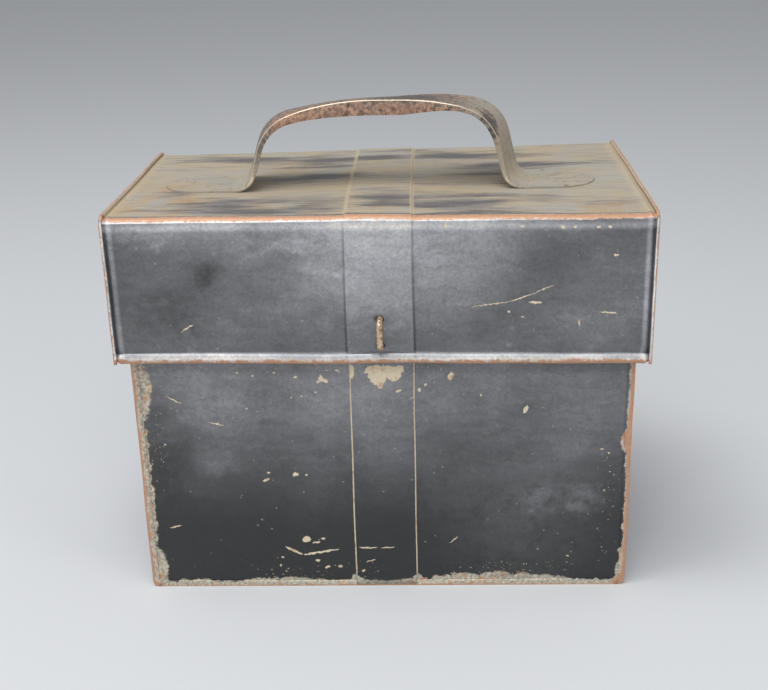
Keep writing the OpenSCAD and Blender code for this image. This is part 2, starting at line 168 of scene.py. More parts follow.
# %% Soft boxes and white card all round
def soft_box(name, place, aim, width, height, watts):
    light = bpy.data.lights.new(name, "AREA")
    light.shape = "RECTANGLE"
    light.size = width
    light.size_y = height
    light.energy = watts
    lamp = bpy.data.objects.new(name, light)
    lamp.location = place
    lamp.rotation_euler = (Vector(aim) - Vector(place)).to_track_quat("-Z", "Y").to_euler()
    bpy.context.scene.collection.objects.link(lamp)
    print(name, watts, "W")


soft_box("soft box above", (-0.35, -0.45, 1.9), (0, 0, 0.1), 1.3, 0.7, 22)
soft_box("strip box in front", (0.0, -1.7, 1.9), (0, 0, 0.15), 1.6, 0.4, 12)
soft_box("soft box at the right", (1.6, -1.2, 0.9), (0, 0, 0.12), 1.0, 1.0, 8)
soft_box("soft box at the left", (-1.7, -0.9, 0.9), (0, 0, 0.12), 1.0, 1.0, 8)

world = bpy.data.worlds.new("white card")
world.use_nodes = True
world.node_tree.nodes["Background"].inputs["Color"].default_value = srgb("#e8eaee")
world.node_tree.nodes["Background"].inputs["Strength"].default_value = 0.55
bpy.context.scene.world = world
bpy.context.scene.view_settings.view_transform = "Standard"

# %% [markdown]
# ## Sheets that were bent by hand
#
# CAD sheets are dead flat, and nothing looks less like an old tin. The real lid sits with a
# slight twist, its faces have soft dents, and its folds wander by half a millimetre. The
# waves could be only painted into the shading, but then edges and outlines stay ruler
# straight. So each sheet, wire and strap is copied, cut into small cells and moved by one
# smooth field for its body: neighbours move together and no seam opens. Near the hinge, and
# at the floor, the field fades out. The two hinge straps stay as the CAD made them.

# %% The field that the tinsmith's hands and a century of use left
corner_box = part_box("lid_left_end")
lid_x = -corner_box[0][0] / MM
lid_y = corner_box[1][1] / MM
lid_bottom = corner_box[0][2] / MM
fin_top = corner_box[1][2] / MM
# Where the sheet turns out into the standing seam, and the lid's face, 4 mm below the fins
SEAM_LINE = lid_x - 4.1
LID_FACE_TOP = fin_top - 4
CROWN_Z = 236
END_WALL_X = 140
# How far each corner of the lid sits from true, up or down, in millimetres
TWIST = {"front left top": 0.1, "front right top": -1.9, "back left top": -2.0, "back right top": 1.7,
         "front left bottom": 1.6, "front right bottom": -1.6}
FRONT_BOW = 0.5
# Dents: (centre, radius, depth) in millimetres; depth pushes the sheet into the box. A dent
# falls off as a bell curve of this steepness, and ends at this share of its radius
DENT_STEEPNESS, DENT_END = 2.2, 1.6
LID_DENTS = [((-96, -87, 203), 30, 1.1), ((-50, -87, 178), 40, 0.8), ((70, -87, 205), 55, -0.7),
             ((5, -87, 160), 9, 0.5), ((-118, -87, 182), 22, 0.6), ((60, 0, CROWN_Z), 60, 0.9),
             ((-70, 20, CROWN_Z), 50, 0.7)]
BODY_DENTS = [((-60, -79, 80), 60, 0.9), ((75, -79, 60), 50, 1.0), ((95, -79, 120), 35, -0.6),
              ((-110, -79, 40), 30, 0.6), ((50, -79, 20), 26, 0.6), ((143, 10, 70), 50, 1.1),
              ((-143, -20, 90), 55, 1.2), ((0, 79, 90), 80, 1.0)]


def pushed_in(point, dents):
    """How far a point is pushed into the box by the dents of its own wall."""
    moved = Vector((0, 0, 0))
    for centre, radius, depth in dents:
        away = (point - Vector(centre)).length / radius
        if away < DENT_END:
            inward = -Vector(centre)
            inward.z = 0
            if centre[2] == CROWN_Z:
                inward = Vector((0, 0, -1))
            elif abs(inward.x) > END_WALL_X:
                inward.y = 0
            else:
                inward.x = 0
            moved += inward.normalized() * depth * math.exp(-DENT_STEEPNESS * away * away)
    return moved


# Left alone, this noise starts from the clock, and the box would be bent anew on each run
noise.seed_set(90)


def wander(point, size, amount):
    """A slow, smooth wobble: size is the length of its waves, in millimetres."""
    return noise.noise_vector(point / size) * amount


def raised_line(point):
    """The sheet lifts in a soft line where it turns out into the standing seam at each end."""
    height, half_width = 0.6, 1.1
    lift = height * math.exp(-((abs(point.x) - SEAM_LINE) / half_width) ** 2)
    if point.z > LID_FACE_TOP:
        return Vector((0, 0, lift))
    return Vector((0, math.copysign(lift, point.y), 0))


def pressed_rim(point):
    """The wired edge was pressed a little oval, so that it hangs lower than a true round."""
    roll_height, stretch = 4.5, 0.38
    return Vector((0, 0, min(0, point.z - lid_bottom - roll_height) * stretch))


def lid_field(point):
    """Twist, bow, dents, seam lines, pressed rim and wobble. It fades out round the hinge."""
    hinge_fade = 40
    u = (point.x / lid_x + 1) / 2
    v = min(1, max(0, (point.y / lid_y + 1) / 2))
    w = min(1, max(0, (point.z - lid_bottom) / (fin_top - lid_bottom)))
    front_top = TWIST["front left top"] * (1 - u) + TWIST["front right top"] * u
    front_top += FRONT_BOW * 4 * u * (1 - u)
    back_top = TWIST["back left top"] * (1 - u) + TWIST["back right top"] * u
    front_bottom = TWIST["front left bottom"] * (1 - u) + TWIST["front right bottom"] * u
    lift = (front_top * (1 - v) + back_top * v) * w + front_bottom * (1 - v) * (1 - w)
    rear_wire = Vector((point.x, lid_y - 2, lid_bottom + 2))
    free = min(1, (point - rear_wire).length / hinge_fade)
    return (Vector((0, 0, lift)) + pushed_in(point, LID_DENTS) + raised_line(point) + pressed_rim(point)
            + wander(point, 55, 0.6) + wander(point + Vector((300, 0, 0)), 22, 0.12)) * free


def body_field(point):
    """Dents and wobble. The floor and the leaves of the hinge straps keep the sheet still."""
    floor_fade, still_radius, leaf_fade = 12, 25, 30
    above_floor = min(1, max(0, point.z / floor_fade))
    from_leaves = math.hypot(point.y - 79, point.z - 146)
    free = above_floor * min(1, max(0, (from_leaves - still_radius) / leaf_fade))
    return (pushed_in(point, BODY_DENTS) + wander(point, 60, 0.5) + wander(point, 22, 0.12)) * free


print("At the lid's front right corner the field is", lid_field(Vector((150, -89, 152))))

# %% Copy a CAD piece, cut it into cells and move it
CELL = 6


def hand_worked(node_name, body, field, cell=CELL, lines=()):
    """Cuts on one grid for all pieces, so that sheets that lie together move together.
    The lines are extra cuts across X, where the shape changes within a millimetre.
    No point leaves the box that all the CAD pieces fill."""
    shape = bmesh.new()
    shape.from_mesh(nodes[node_name].data)
    bmesh.ops.remove_doubles(shape, verts=shape.verts, dist=1e-6)
    low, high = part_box(node_name)
    for axis in range(3):
        direction = Vector([1.0 if i == axis else 0.0 for i in range(3)])
        first, last = math.ceil(low[axis] / (cell * MM)), math.floor(high[axis] / (cell * MM))
        places = [i * cell for i in range(first, last + 1)]
        if axis == 0:
            places += [side * line for side in (-1, 1) for line in lines]
        for at in places:
            if low[axis] < at * MM < high[axis]:
                bmesh.ops.bisect_plane(shape, geom=shape.verts[:] + shape.edges[:] + shape.faces[:],
                                       dist=1e-7, plane_co=direction * at * MM, plane_no=direction)
    bmesh.ops.triangulate(shape, faces=shape.faces)
    unbent = [vert.co.copy() for vert in shape.verts]
    for vert in shape.verts:
        moved = vert.co + field(vert.co / MM) * MM
        vert.co = [min(cad_box[1][i], max(cad_box[0][i], moved[i])) for i in range(3)]
    mesh = bpy.data.meshes.new(node_name + ".worked")
    shape.to_mesh(mesh)
    shape.free()
    # Wear follows the sheet, so finishes read where each point was before the bending
    mesh.attributes.new("unbent", "FLOAT_VECTOR", "POINT").data.foreach_set("vector", [v for at in unbent for v in at])
    for face in mesh.polygons:
        face.use_smooth = True
    mesh.set_sharp_from_angle(angle=math.radians(35))
    piece = bpy.data.objects.new(node_name + ".worked", mesh)
    bpy.context.scene.collection.objects.link(piece)
    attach(piece, body)
    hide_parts(node_name)
    print(node_name, "triangles:", len(mesh.polygons))
    return piece


LID_SHEETS = ("lid_left_sheet", "lid_right_sheet", "lid_cover_strip", "lid_left_end", "lid_right_end")
BODY_SHEETS = ("body_left_shell", "body_right_shell", "body_front_left_sheet", "body_front_right_sheet",
               "body_back_left_sheet", "body_back_right_sheet", "body_front_strip", "body_back_strip")
SEAM_CUTS = [SEAM_LINE + step * 0.55 for step in range(-4, 5)]
sheets = {name: hand_worked(name, "lid", lid_field, lines=SEAM_CUTS) for name in LID_SHEETS}
sheets.update({name: hand_worked(name, "box", body_field) for name in BODY_SHEETS})
staple = hand_worked("staple", "lid", lid_field)
rim_wires = [hand_worked("lid_rim_wire", "lid", lid_field),
             hand_worked("body_rim_wire", "box", body_field)]

# %% [markdown]
# ## Japanned tinplate
#
# Japan is a glossy, slightly orange-peeled lacquer that turns grey with dust and handling.
# It chips off in flakes, and wears away first along folds and rims, down to tin and, where
# the tin has gone too, to copper-brown rust. A wear map could be painted by hand. Here each
# worn place is an ellipsoid with a real position and size instead, so one rule covers a
# chip, a scratch (very long and thin) and a worn fold (endless along it). A point's
# distance to the nearest one, made ragged by noise, says how bare the metal is there.

# %% How bare the metal is at a point
ENDLESS = 4000


def millimetres(tree, piece):
    """Where a point lies, in millimetres, and for a bent sheet where it lay before."""
    if "unbent" in piece.data.attributes:
        where = add(tree, "Attribute", out="Vector", attribute_name="unbent", attribute_type="GEOMETRY")
    else:
        where = add(tree, "TexCoord", out="Object")
    return add(tree, "VectorMath", {0: where, "Scale": 1000}, operation="SCALE")


def own_normal(tree):
    """Which way a face looks in the piece's own frame, which stays the same with the lid open."""
    faces = add(tree, "NewGeometry", out="Normal")
    return add(tree, "VectorTransform", {0: faces}, vector_type="NORMAL", convert_from="WORLD", convert_to="OBJECT")


def bareness(tree, place, worn):
    """The smallest scaled distance to a worn place: 0 in its middle, 1 at its edge.
    Each worn place is (centre, half sizes, slope in degrees), all in millimetres."""
    nearest = None
    for centre, half, slope in worn:
        local = add(tree, "Mapping", {"Vector": place, "Location": centre, "Scale": half,
                                      "Rotation": (0, math.radians(-slope), 0)}, vector_type="TEXTURE")
        reach = add(tree, "VectorMath", {0: local}, operation="LENGTH")
        if nearest is None:
            nearest = reach
        else:
            nearest = add(tree, "Math", {0: nearest, 1: reach}, operation="MINIMUM")
    return nearest


def reaching(worn, cells):
    """The worn places that reach a piece, so that each finish stays a short list. The cells
    are the ones of the cutting grid that the piece has points in."""
    near = []
    for centre, half, slope in worn:
        spans = (max(half[0], half[2]), half[1], max(half[0], half[2])) if slope else half
        if any(all(abs(cell[i] * CELL - centre[i]) < spans[i] + CELL for i in range(3)) for cell in cells):
            near.append((centre, half, slope))
    return near


def chips_on(y, chips):
    """Chips on a wall that faces along Y: (x, z, width, height, slope)."""
    return [((x, y, z), (wide / 2, 3, high / 2), slope) for x, z, wide, high, slope in chips]


def scratches_on(y, scratches):
    """Scratches from (x0, z0) to (x1, z1) on such a wall, each with its width."""
    return chips_on(y, [((x0 + x1) / 2, (z0 + z1) / 2, math.hypot(x1 - x0, z1 - z0), wide,
                         math.degrees(math.atan2(z1 - z0, x1 - x0))) for x0, z0, x1, z1, wide in scratches])


print("A worn place is (centre, half sizes, slope); endless ones reach", ENDLESS, "mm")

# %% [markdown]
# The lid's top has kept a skin of tan dust and old grease. Loose dust would lie evenly, but
# wiping has drawn this skin into broad soft smears along the box, with the dark paint
# showing through in a few long patches and near the front edge.

# %% Smears on the lid's top
cover_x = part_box("lid_cover_strip")[1][0] / MM
face_y = -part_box("lid_cover_strip")[0][1] / MM
DUST_GREY, DUST_TAN, DUST_DARK, DUST_BROWN, DUST_PALE = "#9f9a8f", "#a99a80", "#7d776f", "#a98c66", "#b8a78a"


def on_top(patches):
    """Patches of the lid's top: (x, y, half width, half depth), 30 mm up and down."""
    return [((x, y, CROWN_Z), (half_x, half_y, 30), 0) for x, y, half_x, half_y in patches]


DARK_SMEARS = on_top([(-86, 58, 34, 20), (-39, 50, 26, 20), (-45, 9, 26, 9), (-117, -30, 9, 5), (-39, -61, 28, 17),
                      (-79, -64, 30, 13), (-2, 58, 20, 13), (2, -55, 20, 20), (50, 61, 40, 12), (77, 26, 28, 16),
                      (54, -61, 46, 14), (20, -84, 120, 5)])
DUST_RIDGES = on_top([(-cover_x, 0, 1.8, ENDLESS), (cover_x, 0, 1.8, ENDLESS), (-lid_x, 0, 9, ENDLESS),
                      (lid_x, 0, 9, ENDLESS), (0, 87, ENDLESS, 4)])
BROWN_CORNERS = [((-125, -50, CROWN_Z), (46, 50, 40), 0), ((120, -70, CROWN_Z), (30, 26, 40), 0)]
GAP_BEHIND_BEND = on_top([(0, 5.4 - face_y, ENDLESS, 2.0)])


def smeared(tree, place):
    """How much dark paint shows through the dust: 0 none, 1 all. Wiping has drawn the
    patches out along the box, so the noise that breaks them up is six times longer."""
    stretched = add(tree, "Mapping", {"Vector": place, "Scale": (0.014, 0.085, 0.014)})
    wiped = add(tree, "TexNoise", {"Vector": stretched, "Scale": 1.0, "Detail": 8, "Roughness": 0.68})
    reach = bareness(tree, place, DARK_SMEARS)
    dark = add(tree, "MapRange", {"Value": reach, 1: 1.9, 2: 0.1, 3: -0.1, 4: 0.12})
    dark = add(tree, "Math", {0: wiped, 1: dark}, operation="ADD")
    return add(tree, "MapRange", {"Value": dark, 1: 0.46, 2: 0.64})


def powder(tree, place):
    """Colour of the dust: grey-tan, browner in clouds about 40 mm across, and drawn out
    along the box into fine wiping marks 2 mm apart."""
    clouds = add(tree, "TexNoise", {"Vector": place, "Scale": 0.025, "Detail": 6, "Roughness": 0.7})
    brown = add(tree, "MapRange", {"Value": clouds, 1: 0.4, 2: 0.62})
    dust = add(tree, "Mix", {FACTOR: brown, FIRST: srgb(DUST_GREY), SECOND: srgb(DUST_TAN)}, data_type="RGBA")
    stained = bareness(tree, place, BROWN_CORNERS)
    stained = add(tree, "MapRange", {"Value": stained, 1: 1.0, 2: 0.2, 3: 0.0, 4: 1.3})
    stained = add(tree, "Math", {0: stained, 1: add(tree, "MapRange", {"Value": clouds, 1: 0.42, 2: 0.62})},
                  operation="MULTIPLY", use_clamp=True)
    dust = add(tree, "Mix", {FACTOR: stained, FIRST: dust, SECOND: srgb(DUST_BROWN)}, data_type="RGBA")
    stretched = add(tree, "Mapping", {"Vector": place, "Scale": (0.04, 0.5, 0.04)})
    marks = add(tree, "TexNoise", {"Vector": stretched, "Scale": 1.0, "Detail": 4, "Roughness": 0.6})
    marks = add(tree, "MapRange", {"Value": marks, 1: 0.45, 2: 0.7, 3: 0.0, 4: 0.45})
    return add(tree, "Mix", {FACTOR: marks, FIRST: dust, SECOND: srgb(DUST_DARK)}, data_type="RGBA")


def dusty_top(tree, place, mottle):
    """Dust, the paint that shows through it, paler ridges of dust along the edges, and the
    dark line behind the front bend, where the dust has been rubbed off."""
    paint = add(tree, "Mix", {FACTOR: mottle, FIRST: srgb("#4b4849"), SECOND: srgb("#75706e")}, data_type="RGBA")
    skin = add(tree, "Mix", {FACTOR: smeared(tree, place), FIRST: powder(tree, place), SECOND: paint}, data_type="RGBA")
    ridge = bareness(tree, place, DUST_RIDGES)
    ridge = add(tree, "MapRange", {"Value": ridge, 1: 1.0, 2: 0.2, 3: 0.0, 4: 1.0}, interpolation_type="SMOOTHSTEP")
    patchy = add(tree, "MapRange", {"Value": mottle, 1: 0.3, 2: 0.6, 3: 0.35, 4: 0.9})
    ridge = add(tree, "Math", {0: ridge, 1: patchy}, operation="MULTIPLY")
    skin = add(tree, "Mix", {FACTOR: ridge, FIRST: skin, SECOND: srgb(DUST_PALE)}, data_type="RGBA")
    gap = bareness(tree, place, GAP_BEHIND_BEND)
    gap = add(tree, "MapRange", {"Value": gap, 1: 1.0, 2: 0.3, 3: 0.0, 4: 0.75}, interpolation_type="SMOOTHSTEP")
    return add(tree, "Mix", {FACTOR: gap, FIRST: skin, SECOND: paint}, data_type="RGBA")


print("Dark smears:", len(DARK_SMEARS), "ridges of dust:", len(DUST_RIDGES))

# %% [markdown]
# The finish itself is built up in the order in which it came about. Its noises come first.
# One with flakes 2 mm across makes the chips ragged, and a slower one frays the worn folds
# and smudges the haze. Each shifts the place at which the worn places are measured.

# %% Noises, and the shifted places that make edges ragged
FLAKE_SHIFT, SLOW_SHIFT = 3.2, 8.0
MIDDLE = (0, 0, 118)


def noisy_places(tree, piece):
    at = SimpleNamespace(place=millimetres(tree, piece))
    at.flake = add(tree, "TexNoise", {"Vector": at.place, "Scale": 0.6, "Detail": 6, "Roughness": 0.7}, out="Color")
    slow = add(tree, "TexNoise", {"Vector": at.place, "Scale": 0.11, "Detail": 5, "Roughness": 0.65}, out="Color")
    quick = add(tree, "VectorMath", {0: at.flake, 1: (0.5, 0.5, 0.5)}, operation="SUBTRACT")
    slow = add(tree, "VectorMath", {0: slow, 1: (0.5, 0.5, 0.5)}, operation="SUBTRACT")
    quick = add(tree, "VectorMath", {0: quick, "Scale": FLAKE_SHIFT}, operation="SCALE")
    at.slow = add(tree, "VectorMath", {0: slow, "Scale": SLOW_SHIFT}, operation="SCALE")
    at.ragged = add(tree, "VectorMath", {0: at.place, 1: quick}, operation="ADD")
    at.frayed = add(tree, "VectorMath", {0: at.ragged, 1: at.slow}, operation="ADD")
    at.smudged = add(tree, "VectorMath", {0: at.slow, 1: (2.4, 2.4, 2.4), 2: at.place}, operation="MULTIPLY_ADD")
    at.barely = add(tree, "VectorMath", {0: quick, 1: (0.16, 0.16, 0.16), 2: at.place}, operation="MULTIPLY_ADD")
    # 1 on the outside of the box and next to 0 on the inside
    at.faces = own_normal(tree)
    from_middle = add(tree, "VectorMath", {0: at.place, 1: MIDDLE}, operation="SUBTRACT")
    outward = add(tree, "VectorMath", {0: at.faces, 1: from_middle}, operation="DOT_PRODUCT")
    at.outward = add(tree, "MapRange", {"Value": outward, 1: 0, 2: 5, 3: 0.001, 4: 1.0})
    at.mottle = add(tree, "TexNoise", {"Vector": at.place, "Scale": 0.6, "Detail": 6, "Roughness": 0.75})
    return at


print("Edges are moved by up to about", FLAKE_SHIFT / 2, "mm in flakes and", SLOW_SHIFT / 2, "mm slowly")

# %% [markdown]
# Japan is soot black, but dust and handling leave a grey haze on it. Even haze would look
# like grey paint. Here each tone lifts or lowers it near its own place, and it lies in clouds
# about 60 mm across, long streaks and 2 mm mottling. Not every tone is haze: some are painted
# light, painted highlights that lift it and painted shade that lowers it. Where it is more
# than full, the surface turns pale, as rubbed metal and as painted highlight. A few freckles
# lie on top.

# %% Lacquer and haze
# The pale colour above full haze is rubbed metal, and also the colour of the painted highlights
BLACK, HAZE, PALE_RUB_AND_HIGHLIGHT, FRECKLE = "#1b1c1d", "#a3a4a8", "#e8e2da", "#b0ab9f"


def haze_and_painted_light(tree, at, cells, tones, haze):
    """How strong the haze and the painted light are: 0 black lacquer, 1 full haze, 2 pale, for rubbed metal and painted
    highlights.
    """
    clouds = add(tree, "TexNoise", {"Vector": at.place, "Scale": 0.016, "Detail": 6, "Roughness": 0.62})
    veil = haze
    for centre, half, slope, lift in tones:
        if reaching([(centre, half, slope)], cells):
            soft = half[0] > 5 and half[2] > 5
            near = bareness(tree, at.smudged if soft else at.place, [(centre, half, slope)])
            near = add(tree, "MapRange", {"Value": near, 1: 1.0, 2: 0.0, 3: 0.0, 4: lift},
                       interpolation_type="SMOOTHSTEP")
            veil = add(tree, "Math", {0: veil, 1: near}, operation="ADD")
    cloudy = add(tree, "MapRange", {"Value": clouds, 1: 0.3, 2: 0.7, 3: 0.58, 4: 1.42})
    speckled = add(tree, "MapRange", {"Value": at.mottle, 1: 0.25, 2: 0.75, 3: 0.7, 4: 1.3})
    veil = add(tree, "Math", {0: veil, 1: cloudy}, operation="MULTIPLY")
    drawn_out = add(tree, "Mapping", {"Vector": at.smudged, "Scale": (0.03, 0.2, 0.28)})
    streaks = add(tree, "TexNoise", {"Vector": drawn_out, "Scale": 1.0, "Detail": 5, "Roughness": 0.65})
    streaks = add(tree, "MapRange", {"Value": streaks, 1: 0.3, 2: 0.7, 3: 0.76, 4: 1.24})
    veil = add(tree, "Math", {0: veil, 1: streaks}, operation="MULTIPLY")
    return add(tree, "Math", {0: veil, 1: speckled}, operation="MULTIPLY")


def lacquer(tree, at, veil):
    colour = add(tree, "Mix", {FACTOR: veil, FIRST: srgb(BLACK), SECOND: srgb(HAZE)}, data_type="RGBA")
    # Above full haze the colour turns pale: rubbed metal, and painted highlights where a tone stands for light
    rubbed = add(tree, "MapRange", {"Value": veil, 1: 1.0, 2: 2.0})
    colour = add(tree, "Mix", {FACTOR: rubbed, FIRST: colour, SECOND: srgb(PALE_RUB_AND_HIGHLIGHT)}, data_type="RGBA")
    freckle = add(tree, "TexVoronoi", {"Vector": at.ragged, "Scale": 0.13, "Randomness": 1.0})
    freckle = add(tree, "MapRange", {"Value": freckle, 1: 0.09, 2: 0.03, 3: 0.0, 4: 0.6})
    return add(tree, "Mix", {FACTOR: freckle, FIRST: colour, SECOND: srgb(FRECKLE)}, data_type="RGBA")


def where_dust_lies(tree, at):
    """1 on what faces up and is as high as the crown, and on top of the fins."""
    upward = add(tree, "MapRange", {"Value": add(tree, "SeparateXYZ", {0: at.faces}, out="Z"), 1: 0.55, 2: 0.95})
    height = add(tree, "SeparateXYZ", {0: at.place}, out="Z")
    high_up = add(tree, "MapRange", {"Value": height, 1: LID_FACE_TOP, 2: LID_FACE_TOP + 1})
    lies = add(tree, "Math", {0: upward, 1: high_up}, operation="MULTIPLY")
    on_fin = add(tree, "MapRange", {"Value": height, 1: LID_FACE_TOP + 2.1, 2: LID_FACE_TOP + 2.5})
    return add(tree, "Math", {0: lies, 1: on_fin}, operation="MAXIMUM")


print("Haze goes from", BLACK, "through", HAZE, "to", PALE_RUB_AND_HIGHLIGHT)

# %% [markdown]
# Tin is silvery when new and dull cream-grey after a century. Where the lacquer has flaked
# off it shows clean and pale, with rust stains, and along the folds it is more tarnished.
# Where the tin has gone too, iron shows as copper-brown rust, with cream flecks of oxide
# towards its edges. Both come in within a tenth of their reach, so that flakes end sharply.

# %% Bare tin and rust
# Where the front of the body is peppered with tiny flakes: under the lid and along its borders
SPECKLED = [((0, -80, 147), (128, 12, 15), 0), ((-134, -80, 100), (15, 12, 60), 0), ((-50, -80, 10), (80, 12, 13), 0),
            ((18, -80, 130), (20, 12, 22), 0), ((132, -80, 60), (12, 12, 60), 0), ((75, -80, 12), (60, 12, 14), 0)]
TIN, DULL_TIN, STAIN = ("#b5a98f", "#f8e9cb"), ("#71726d", "#d8cfba"), "#c08a5e"
OXIDE, COPPER = ("#a8968a", "#eadbcb"), ("#9a6d54", "#d4ab8d")


def bare_tin(tree, at, cells, folds, chips):
    """The colour of the tin, and where it shows: on the worn folds, chips and specks."""
    metal = add(tree, "Mix", {FACTOR: at.flake, FIRST: srgb(TIN[0]), SECOND: srgb(TIN[1])}, data_type="RGBA")
    reaches = [bareness(tree, at.frayed, folds)] if folds else []
    if folds:
        tarnish = add(tree, "MapRange", {"Value": at.flake, 1: 0.38, 2: 0.6})
        dull = add(tree, "Mix", {FACTOR: tarnish, FIRST: srgb(DULL_TIN[0]), SECOND: srgb(DULL_TIN[1])},
                   data_type="RGBA")
        in_fold = add(tree, "MapRange", {"Value": reaches[0], 1: 1.3, 2: 1.05})
        metal = add(tree, "Mix", {FACTOR: in_fold, FIRST: metal, SECOND: dull}, data_type="RGBA")
    straight = [mark for mark in chips if mark[1][2] == ENDLESS]
    loose = [mark for mark in chips if mark not in straight]
    # Chips are on the outside only, which worn folds are not
    reaches += [add(tree, "Math", {0: bareness(tree, place, marks), 1: at.outward}, operation="DIVIDE")
                for place, marks in ((at.barely, straight), (at.ragged, loose)) if marks]
    far = reaches[0]
    for reach in reaches[1:]:
        far = add(tree, "Math", {0: far, 1: reach}, operation="MINIMUM")
    stain = add(tree, "TexNoise", {"Vector": at.place, "Scale": 0.16, "Detail": 5, "Roughness": 0.65})
    stain = add(tree, "MapRange", {"Value": stain, 1: 0.55, 2: 0.66, 3: 0.0, 4: 0.8})
    metal = add(tree, "Mix", {FACTOR: stain, FIRST: metal, SECOND: srgb(STAIN)}, data_type="RGBA")
    shows = add(tree, "MapRange", {"Value": far, 1: 1.06, 2: 0.98})
    if reaching(SPECKLED, cells):
        near = bareness(tree, at.smudged, SPECKLED)
        near = add(tree, "MapRange", {"Value": near, 1: 1.2, 2: 0.2, 3: 0.0, 4: 0.12})
        speck = add(tree, "TexNoise", {"Vector": at.place, "Scale": 0.75, "Detail": 3, "Roughness": 0.6})
        speck = add(tree, "Math", {0: speck, 1: near}, operation="ADD")
        speck = add(tree, "MapRange", {"Value": speck, 1: 0.775, 2: 0.805})
        speck = add(tree, "Math", {0: speck, 1: at.outward}, operation="MULTIPLY")
        shows = add(tree, "Math", {0: shows, 1: speck}, operation="MAXIMUM")
    return metal, shows


def copper_rust(tree, at, rusty):
    """The colour of the rust, and the band along each fold in which it shows."""
    half_frayed = add(tree, "VectorMath", {0: at.slow, 1: (0.35, 0.35, 0.35), 2: at.ragged}, operation="MULTIPLY_ADD")
    far = bareness(tree, half_frayed, rusty)
    band = add(tree, "MapRange", {"Value": far, 1: 1.1, 2: 0.96})
    cream = add(tree, "Mix", {FACTOR: at.flake, FIRST: srgb(OXIDE[0]), SECOND: srgb(OXIDE[1])}, data_type="RGBA")
    copper = add(tree, "Mix", {FACTOR: at.mottle, FIRST: srgb(COPPER[0]), SECOND: srgb(COPPER[1])}, data_type="RGBA")
    fleck = add(tree, "TexNoise", {"Vector": at.place, "Scale": 0.22, "Detail": 5, "Roughness": 0.7})
    core = add(tree, "MapRange", {"Value": fleck, 1: 0.38, 2: 0.62, 3: 1.15, 4: 0.72})
    core = add(tree, "Math", {0: core, 1: far}, operation="SUBTRACT")
    core = add(tree, "MapRange", {"Value": core, 1: -0.1, 2: 0.1})
    return add(tree, "Mix", {FACTOR: core, FIRST: cream, SECOND: copper}, data_type="RGBA"), band


print("Tiny flakes pepper", len(SPECKLED), "places")

# %% [markdown]
# Now the layers go into one shader. The lacquer is a dark base under a coat, which is what
# carries its gloss, and the coat ends where dust lies or metal shows. Orange peel, blisters
# and the step down into each flake go into the bump, since they are too shallow to model.

# %% Japan over tinplate
MOST_MARKS_WITH_STEPS = 12


def japanned_tin(name, piece, rusty, folds, chips, tones, haze, dusty=False):
    material = bpy.data.materials.new(name)
    material.use_nodes = True
    tree = material.node_tree
    shader = tree.nodes["Principled BSDF"]
    at = noisy_places(tree, piece)
    cells = {tuple(round(c / CELL / MM) for c in v.co) for v in piece.data.vertices}
    colour = lacquer(tree, at, haze_and_painted_light(tree, at, cells, tones, haze))
    rough = add(tree, "MapRange", {"Value": at.mottle, 1: 0.3, 2: 0.7, 3: 0.38, 4: 0.52})
    gloss = add(tree, "MapRange", {"Value": at.mottle, 1: 0.3, 2: 0.7, 3: 0.9, 4: 0.5})
    if dusty:
        lies = where_dust_lies(tree, at)
        skin = dusty_top(tree, at.place, at.mottle)
        colour = add(tree, "Mix", {FACTOR: lies, FIRST: colour, SECOND: skin}, data_type="RGBA")
        rough = add(tree, "Mix", {0: lies, 2: rough, 3: 0.6})
        gloss = add(tree, "Math", {0: gloss, 1: lies}, operation="SUBTRACT", use_clamp=True)
    worn_away = None
    folds, chips, rusty = reaching(folds, cells), reaching(chips, cells), reaching(rusty, cells)
    if folds or chips:
        metal, worn_away = bare_tin(tree, at, cells, folds, chips)
        colour = add(tree, "Mix", {FACTOR: worn_away, FIRST: colour, SECOND: metal}, data_type="RGBA")
    if rusty:
        metal, band = copper_rust(tree, at, rusty)
        colour = add(tree, "Mix", {FACTOR: band, FIRST: colour, SECOND: metal}, data_type="RGBA")
        worn_away = add(tree, "Math", {0: worn_away, 1: band}, operation="MAXIMUM") if worn_away else band
    if worn_away:
        rough = add(tree, "Mix", {0: worn_away, 2: rough, 3: 0.5})
        gloss = add(tree, "Math", {0: gloss, 1: worn_away}, operation="SUBTRACT", use_clamp=True)
        tree.links.new(add(tree, "Math", {0: worn_away, 1: 0.25}, operation="MULTIPLY"), shader.inputs["Metallic"])

    peel = add(tree, "TexNoise", {"Vector": at.place, "Scale": 0.45, "Detail": 4})
    bump = add(tree, "Bump", {"Height": peel, "Strength": 1.0, "Distance": 0.00009})
    blister = add(tree, "TexVoronoi", {"Vector": at.ragged, "Scale": 0.16, "Randomness": 1.0})
    blister = add(tree, "MapRange", {"Value": blister, 1: 0.16, 2: 0.0}, interpolation_type="SMOOTHSTEP")
    bump = add(tree, "Bump", {"Height": blister, "Normal": bump, "Strength": 1.0, "Distance": 0.00018})
    marks = len(folds + chips + rusty)
    if worn_away and marks < MOST_MARKS_WITH_STEPS:
        # A bump works its height out three times, too much for the pieces with most chips
        bump = add(tree, "Bump", {"Height": worn_away, "Normal": bump, "Strength": 1.0, "Distance": 0.0001},
                   invert=True)
    tree.links.new(colour, shader.inputs["Base Color"])
    tree.links.new(rough, shader.inputs["Roughness"])
    tree.links.new(gloss, shader.inputs["Coat Weight"])
    shader.inputs["Specular IOR Level"].default_value = 0.25
    shader.inputs["Coat Roughness"].default_value = 0.2
    tree.links.new(bump, shader.inputs["Normal"])
    tree.links.new(bump, shader.inputs["Coat Normal"])
    piece.data.materials.clear()
    piece.data.materials.append(material)
    print(name, "has", len(tree.nodes), "nodes for", marks, "worn places")


print("Pieces with fewer than", MOST_MARKS_WITH_STEPS, "worn places get a step at each flake")

# %% [markdown]
# The body is worn along its borders, its bottom edge and both edges of the middle strip.
# Its chips gather under the lid, and the two-lobed bare patch in the middle is the solder
# scar of a lost hasp.

